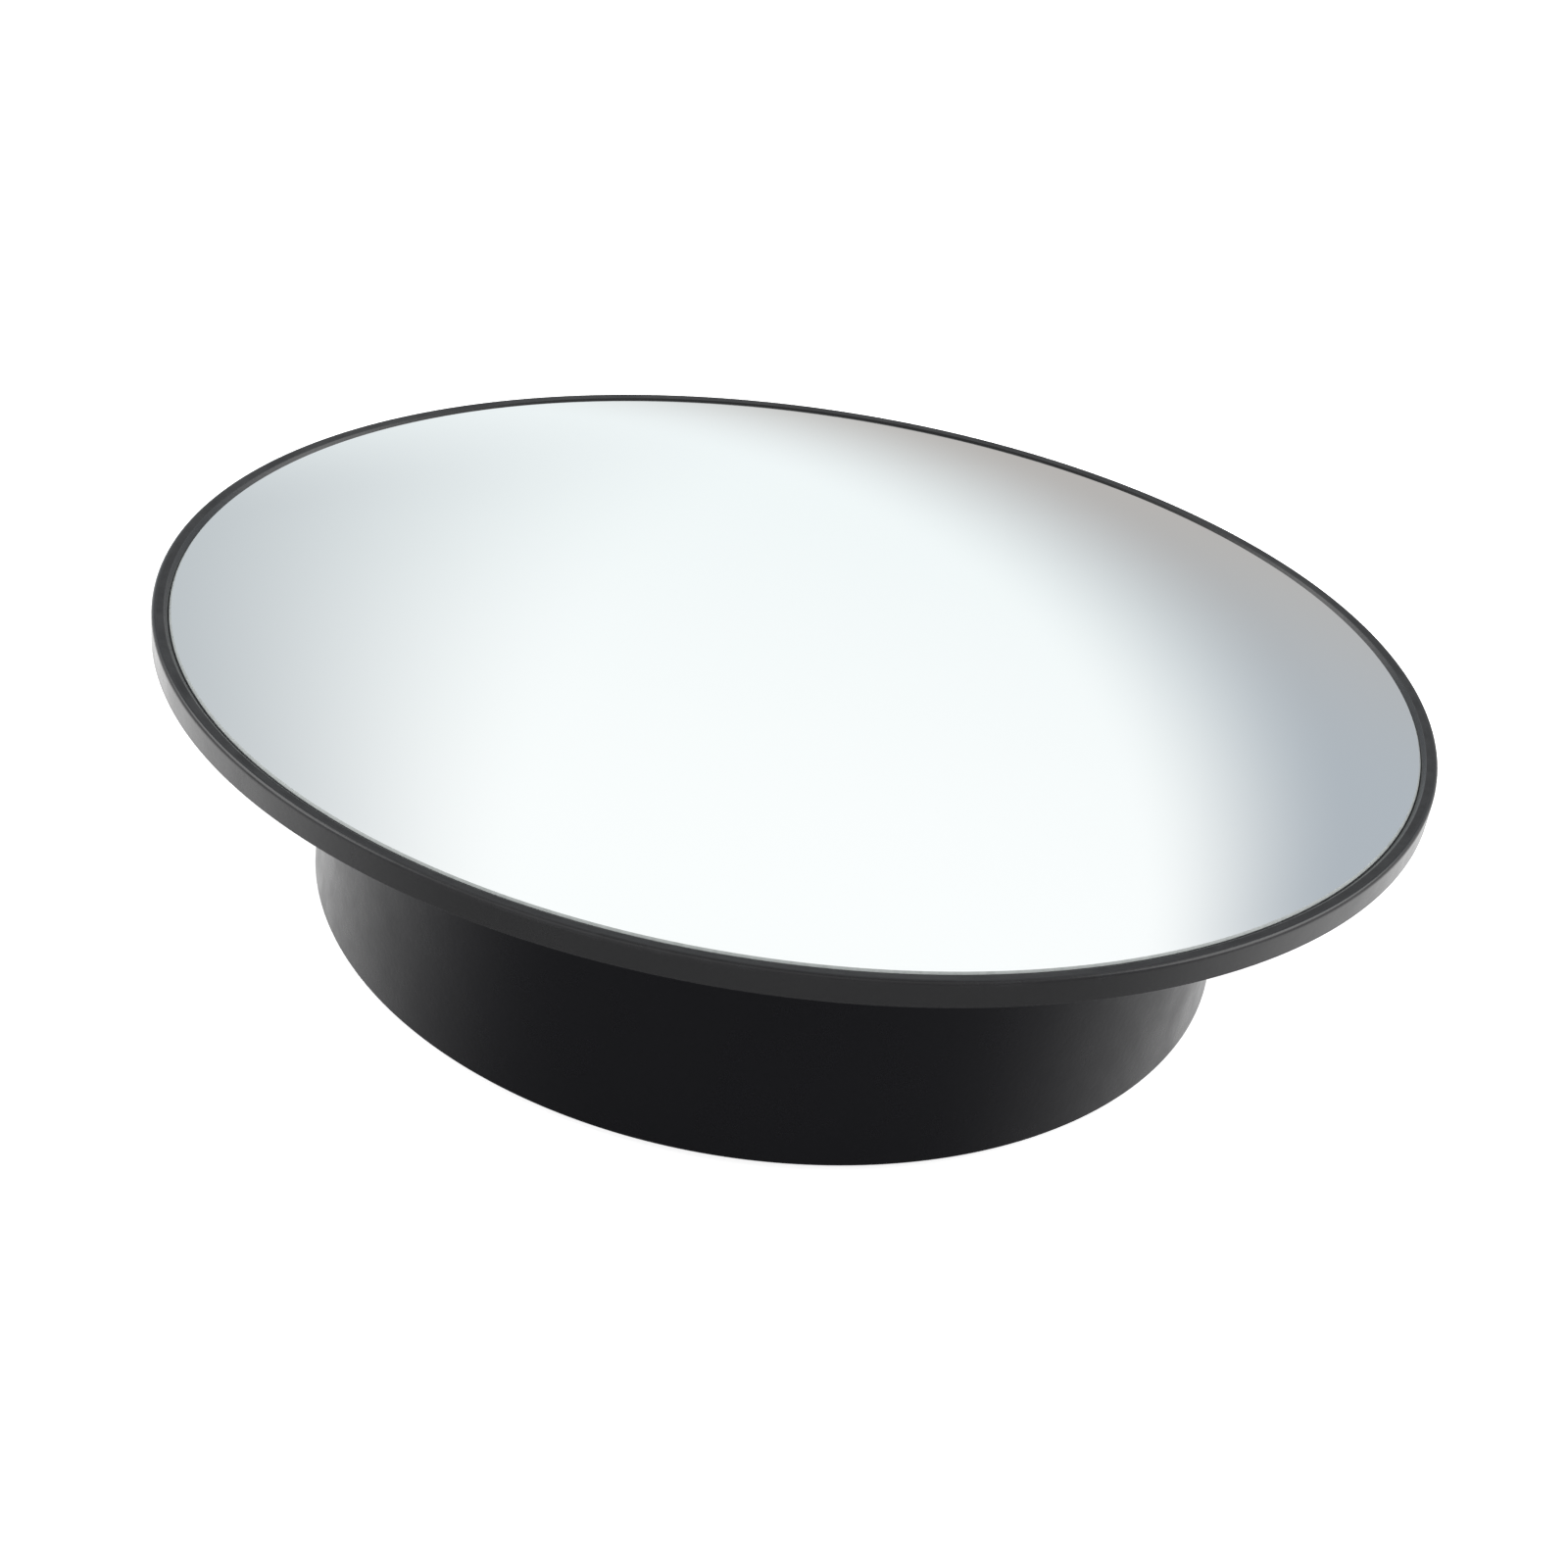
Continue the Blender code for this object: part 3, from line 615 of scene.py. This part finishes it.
def flat_washer(node, body, mat, inner, matrix=WORLD, thickness=None, radius=None):
    """Ring with softened rims; one that lies on Z takes its size and height from its node's box."""
    if thickness is None:
        bottom, top = node_heights(node)
        radius = node_radius(node)
    else:
        bottom, top = -thickness / 2, thickness / 2
    soft = min(0.1 * MM, (top - bottom) / 4)
    corners = [(inner, top, soft), (radius, top, soft), (radius, bottom, soft), (inner, bottom, soft)]
    washer = lathe(node + "_fine", rounded(corners, 3), matrix, ring=True, steps=SMALL_STEPS)
    finish_piece(washer, node, body, mat)


def build_disc_spring(mat):
    """Conical spring washer."""
    low, high = node_heights("disc_spring")
    radius = node_radius("disc_spring")
    inner = POST_BORE + 0.15 * MM
    profile = rounded([
        (inner, high, 0.08 * MM),
        (radius, low + SPRING_THICKNESS, 0.08 * MM),
        (radius, low, 0.08 * MM),
        (inner, high - SPRING_THICKNESS, 0.08 * MM),
    ], 3)
    spring = lathe("disc_spring_fine", profile, ring=True, steps=SMALL_STEPS)
    finish_piece(spring, "disc_spring", "drum", mat)


def build_hinge_pin(mat):
    """Headed pin along X with a groove for the clip."""
    low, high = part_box("hinge_pin")
    clip_low, clip_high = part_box("pin_clip")
    head_radius = (high.z - low.z) / 2
    head_face = -(EAR_X + EAR_THICKNESS / 2 + GAP)
    profile = rounded([
        (0.0, high.x, 0),
        (PIN_RADIUS, high.x, 0.3 * MM),
        (PIN_RADIUS, clip_high.x + CLIP_CLEARANCE, 0.06 * MM),
        (GROOVE_RADIUS, clip_high.x + CLIP_CLEARANCE, 0.06 * MM),
        (GROOVE_RADIUS, clip_low.x - CLIP_CLEARANCE, 0.06 * MM),
        (PIN_RADIUS, clip_low.x - CLIP_CLEARANCE, 0.06 * MM),
        (PIN_RADIUS, head_face, 0.1 * MM),
        (head_radius, head_face, 0.1 * MM),
        (head_radius * 0.9, low.x, 0.35 * MM),
        (0.0, low.x, 0),
    ], closed=False)
    pin = lathe("hinge_pin_fine", profile, Matrix.Translation(PIVOT) @ SIDEWAYS, steps=SMALL_STEPS)
    finish_piece(pin, "hinge_pin", "drum", mat)


def build_pin_clip(mat):
    """Open spring clip, its mouth pointing down."""
    low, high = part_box("pin_clip")
    mouth = math.radians(35)
    start = math.radians(-90) + mouth
    end = math.radians(270) - mouth
    outline = circle_arc((high.y - low.y) / 2, start, end, 72)
    outline += circle_arc(GROOVE_RADIUS + GAP, end, start, 48)
    place = Matrix.Translation(((low.x + high.x) / 2, 0, PIVOT.z)) @ SIDEWAYS
    clip = prism("pin_clip_fine", outline, high.x - low.x, place, 0.08 * MM)
    clip.data.shade_smooth()
    clip.data.set_sharp_from_angle(angle=math.radians(30))
    finish_piece(clip, "pin_clip", "drum", mat)


def build_pivot_bracket(mat):
    """Pressed plate with two upright ears, an opening for the retaining washer and four screw holes."""
    low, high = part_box("pivot_bracket")
    foot = low.z + BRACKET_THICKNESS / 2
    outline = []
    for i, (side_x, side_y) in enumerate(((1, 1), (-1, 1), (-1, -1), (1, -1))):
        quarter = circle_arc(BRACKET_CORNER, math.pi / 2 * i, math.pi / 2 * (i + 1), 12)
        middle = Vector((side_x * (high.x - BRACKET_CORNER), side_y * (high.y - BRACKET_CORNER)))
        outline += [(middle.x + x, middle.y + y) for x, y in quarter]
    place = Matrix.Translation((0, 0, foot))
    bracket = prism("pivot_bracket_fine", outline, BRACKET_THICKNESS, place, 0.12 * MM)
    hanging = SIDEWAYS @ Matrix.Rotation(math.pi, 4, "Z")
    ears = []
    for side in (-1, 1):
        place = Matrix.Translation((side * EAR_X, 0, PIVOT.z)) @ hanging
        ear = tongue_outline(EAR_RADIUS, PIVOT.z - foot)
        ears.append(prism("ear", ear, EAR_THICKNESS, place, 0.15 * MM))
    combine(bracket, ears, "UNION")
    cutters = screw_holes(foot)
    cutters.append(rod("opening", BRACKET_OPENING, 3 * BRACKET_THICKNESS, Matrix.Translation((0, 0, foot))))
    cutters.append(rod("bore", PIN_BORE, 3 * EAR_X, Matrix.Translation(PIVOT) @ SIDEWAYS))
    combine(bracket, cutters, "DIFFERENCE")
    finish_piece(bracket, "pivot_bracket", "drum", mat)


def build_screw(node, body, shank, head_height, pitch, mat):
    """Pan head screw with a helical thread and a cross recess, where its node stands."""
    low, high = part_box(node)
    middle = (low + high) / 2
    head = (high.x - low.x) / 2
    under = high.z - head_height
    root = shank * 0.8
    rows = int((under - low.z) / (pitch / 6))
    heights = [under - 0.05 * MM - (under - low.z - 0.3 * MM) * i / rows for i in range(rows + 1)]
    pan = [(0.0, high.z, 0), (head, high.z, head * 0.3), (head, under, 0.1 * MM)]
    profile = rounded(pan, 8, closed=False)
    profile += [(root, under, 0.0)] + [(root, height, 0.0) for height in heights]
    profile += [(root * 0.5, low.z, 0.0), (0.0, low.z, 0.0)]
    screw = lathe(node + "_fine", profile, steps=SCREW_STEPS)
    for vertex in screw.data.vertices:
        x, y, z = vertex.co
        if heights[-1] <= z <= heights[0] and math.hypot(x, y) < shank:
            phase = (z / pitch - math.atan2(y, x) / (2 * math.pi)) % 1.0
            crest = 1.0 - abs(2 * phase - 1)
            grow = 1.0 + (shank / root - 1.0) * crest
            vertex.co = (x * grow, y * grow, z)
    slots = []
    for turn in (45, 135):
        place = Matrix.Translation((0, 0, high.z)) @ Matrix.Rotation(math.radians(turn), 4, "Z")
        reach, width = head * 0.6, 0.25 * MM
        outline = [(-reach, -width), (reach, -width), (reach, width), (-reach, width)]
        slots.append(prism("slot", outline, 1.4 * MM, place))
    combine(screw, slots, "DIFFERENCE")
    screw.data.transform(Matrix.Translation((middle.x, middle.y, 0)))
    finish_piece(screw, node, body, mat)


def build_inner_pieces():
    zinc = steel("zinc_plate", (0.66, 0.66, 0.63), 0.28)
    spring = steel("blued_spring", (0.24, 0.24, 0.27), 0.32)
    sheet = steel("pressed_sheet", (0.5, 0.5, 0.5), 0.4, (1.0, 12.0, 1.0))
    white = nylon("natural_nylon")
    build_glass_pad()
    build_base_plate()
    flat_washer("thrust_washer", "base", white, POST_BORE)
    flat_washer("retaining_washer", "base", zinc, SCREW_HOLE)
    for side in ("left", "right"):
        node = f"friction_washer_{side}"
        low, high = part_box(node)
        place = Matrix.Translation(((low.x + high.x) / 2, 0, PIVOT.z)) @ SIDEWAYS
        radius = (high.z - low.z) / 2
        flat_washer(node, "drum", white, PIN_BORE, place, high.x - low.x, radius)
    build_disc_spring(spring)
    build_hinge_pin(zinc)
    build_pin_clip(spring)
    build_pivot_bracket(sheet)
    build_screw("centre_screw", "base", 1.4 * MM, 1.6 * MM, 0.7 * MM, zinc)
    for node in BRACKET_SCREWS:
        build_screw(node, "drum", 1.0 * MM, 1.2 * MM, 0.5 * MM, zinc)


# ---------------------------------------------------------------- camera

CAMERA_DISTANCE = 475.0 * MM
CAMERA_ELEVATION = math.radians(32.95)
CAMERA_ROLL = math.radians(8.49)        # the mirror's long axis falls to the right
SENSOR = 36.0                           # millimetres, as the lens
LENS = 148.6
AIM_RIGHT = 1.07 * MM                   # how far right of the aim, and above it, the mirror's middle lies
AIM_UP = 8.87 * MM


def build_camera():
    data = bpy.data.cameras.new("camera")
    data.sensor_width = SENSOR
    data.lens = LENS
    data.clip_start = 0.05
    data.clip_end = 50.0
    camera = bpy.data.objects.new("camera", data)
    bpy.context.scene.collection.objects.link(camera)
    forward = Vector((0, math.cos(CAMERA_ELEVATION), -math.sin(CAMERA_ELEVATION)))
    level_right = Vector((1, 0, 0))
    level_up = level_right.cross(forward)
    right = level_right * math.cos(CAMERA_ROLL) + level_up * math.sin(CAMERA_ROLL)
    up = level_up * math.cos(CAMERA_ROLL) - level_right * math.sin(CAMERA_ROLL)
    middle = HEAD @ Vector((0, 0, LIP_HEIGHT))
    place = middle - forward * CAMERA_DISTANCE - right * AIM_RIGHT - up * AIM_UP
    turn = Matrix((right, up, -forward)).transposed().to_4x4()
    camera.matrix_world = Matrix.Translation(place) @ turn
    bpy.context.scene.camera = camera


# ---------------------------------------------------------------- studio

FLOOR_REACH = 3.0                       # metres from the middle to each side
FLOOR_LEVEL = -0.02 * MM                # just clear of the foam disc's underside
FLOOR_GLOW = 0.85


def build_floor():
    mesh = bpy.data.meshes.new("floor")
    signs = ((-1, -1), (1, -1), (1, 1), (-1, 1))
    corners = [(x * FLOOR_REACH, y * FLOOR_REACH, FLOOR_LEVEL) for x, y in signs]
    mesh.from_pydata(corners, [], [(0, 1, 2, 3)])
    floor = bpy.data.objects.new("floor", mesh)
    bpy.context.scene.collection.objects.link(floor)
    floor.visible_glossy = False        # the tent alone is what the gloss reflects
    mat, tree, shader, place = new_material("floor_paper")
    mottle = tree.noise(place, 3.0, 3.0)
    tree.put(shader.inputs["Base Color"], tree.mix(mottle, grey(0.86), grey(0.9)))
    shader.inputs["Roughness"].default_value = 0.8
    shader.inputs["Specular IOR Level"].default_value = 0.1
    shader.inputs["Emission Color"].default_value = grey(1.0)
    shader.inputs["Emission Strength"].default_value = FLOOR_GLOW
    mesh.materials.append(mat)


# Radiance of the light tent
WALL = grey(0.72)
SOFTBOX = grey(2.8)
DARK_TENT = grey(0.22)


def tent_ahead(tree, azimuth, elevation):
    """The side of the tent beyond the mirror: bright, grey to the left, a slanted grey flag on the right."""
    height = tree.ramp(elevation, 0.0, 47.0)
    glow = tree.mix(height, (0.925, 0.975, 0.985, 1.0), (1.02, 1.04, 1.045, 1.0))
    leftward = tree.math("ADD", azimuth, tree.math("MULTIPLY", elevation, 0.25))
    left = tree.ramp(leftward, 0.0, -18.0)
    left = tree.math("MULTIPLY", left, tree.ramp(elevation, -9.0, 9.0, 0.2, 1.0))
    glow = tree.mix(left, glow, (0.465, 0.5, 0.533, 1.0))
    # the flag's edge rises to the right in a slight bow and gets crisper as it rises
    rise = tree.math("MULTIPLY", elevation, 0.535)
    bow = tree.math("MULTIPLY", tree.math("MULTIPLY", elevation, elevation), 0.0019)
    rightward = tree.math("ADD", tree.math("SUBTRACT", azimuth, rise), bow)
    crisp = tree.math("SUBTRACT", 1.0, tree.math("MULTIPLY", elevation, 0.007))
    flag = tree.ramp(tree.math("DIVIDE", rightward, crisp), -3.1, 7.8)
    flag_height = tree.ramp(elevation, -10.0, 21.5)
    flag_colour = tree.mix(flag_height, (0.488, 0.469, 0.454, 1.0), (0.451, 0.493, 0.539, 1.0))
    return tree.mix(flag, glow, flag_colour)


def build_world():
    """Light tent, by direction in degrees: the mirror's view ahead, pale side walls, a dim camera side."""
    world = bpy.data.worlds.new("studio")
    bpy.context.scene.world = world
    world.use_nodes = True
    tree = Tree(world.node_tree)
    output = tree.add("ShaderNodeOutputWorld")
    direction = tree.add("ShaderNodeTexCoord").outputs["Generated"]
    parts = tree.add("ShaderNodeSeparateXYZ", {0: direction})
    x, y, z = parts.outputs[0], parts.outputs[1], parts.outputs[2]
    azimuth = tree.math("MULTIPLY", tree.math("ARCTAN2", x, y), 180 / math.pi)
    elevation = tree.math("MULTIPLY", tree.math("ARCSINE", z), 180 / math.pi)
    around = tree.math("ABSOLUTE", azimuth)
    glow = tent_ahead(tree, azimuth, elevation)
    # pale walls at the sides, a softbox high on each
    walls = tree.math("MULTIPLY", tree.ramp(around, 30.0, 46.0), tree.ramp(around, 116.0, 90.0))
    raised = tree.math("MULTIPLY", tree.ramp(elevation, 10.0, 30.0), tree.ramp(elevation, 54.0, 38.0))
    glow = tree.mix(walls, glow, tree.mix(raised, WALL, SOFTBOX))
    # the camera's side and overhead are dim
    rising = tree.ramp(elevation, -5.0, 50.0, 0.28, 0.6)
    sideways = tree.ramp(x, -0.5, 0.5, 1.2, 0.8)
    dim = tree.math("MULTIPLY", rising, sideways)
    glow = tree.mix(tree.ramp(around, 95.0, 125.0), glow, dim)
    glow = tree.mix(tree.ramp(elevation, 52.0, 68.0), glow, DARK_TENT)
    # below the horizon: bright table beside and behind, dark towards the camera
    brightest = tree.ramp(azimuth, -40.0, 60.0, 1.6, 1.3)
    table = tree.ramp(around, 130.0, 60.0, 0.3, brightest)
    table = tree.mix(tree.ramp(elevation, -37.0, -50.0), table, DARK_TENT)
    glow = tree.mix(tree.ramp(elevation, -11.0, -19.0), glow, table)
    background = tree.add("ShaderNodeBackground", {"Color": glow, "Strength": 1.0})
    pale = tree.add("ShaderNodeBackground", {"Color": grey(1.0), "Strength": 1.0})
    seen = tree.add("ShaderNodeLightPath").outputs["Is Camera Ray"]
    chosen = tree.add("ShaderNodeMixShader", {0: seen, 1: background.outputs[0], 2: pale.outputs[0]})
    tree.put(output.inputs["Surface"], chosen.outputs[0])


SOFTBOX_PLACE = Vector((0.0, -0.1, 1.6))
SOFTBOX_SIDE = 1.6
SOFTBOX_WATTS = 20.0


def build_light():
    """Softbox overhead, aimed at the origin; it lights, but neither the camera nor the gloss sees it."""
    data = bpy.data.lights.new("overhead_softbox", "AREA")
    data.shape = "RECTANGLE"
    data.size = SOFTBOX_SIDE
    data.size_y = SOFTBOX_SIDE
    data.energy = SOFTBOX_WATTS
    light = bpy.data.objects.new("overhead_softbox", data)
    bpy.context.scene.collection.objects.link(light)
    light.location = SOFTBOX_PLACE
    light.rotation_euler = (-SOFTBOX_PLACE).to_track_quat("-Z", "Y").to_euler()
    light.visible_camera = False
    light.visible_glossy = False


build_mirror()
build_bezel()
build_back_shell()
build_drum()
build_adhesive_pad()
build_inner_pieces()
build_camera()
build_floor()
build_world()
build_light()
bpy.context.scene.view_settings.view_transform = "Standard"
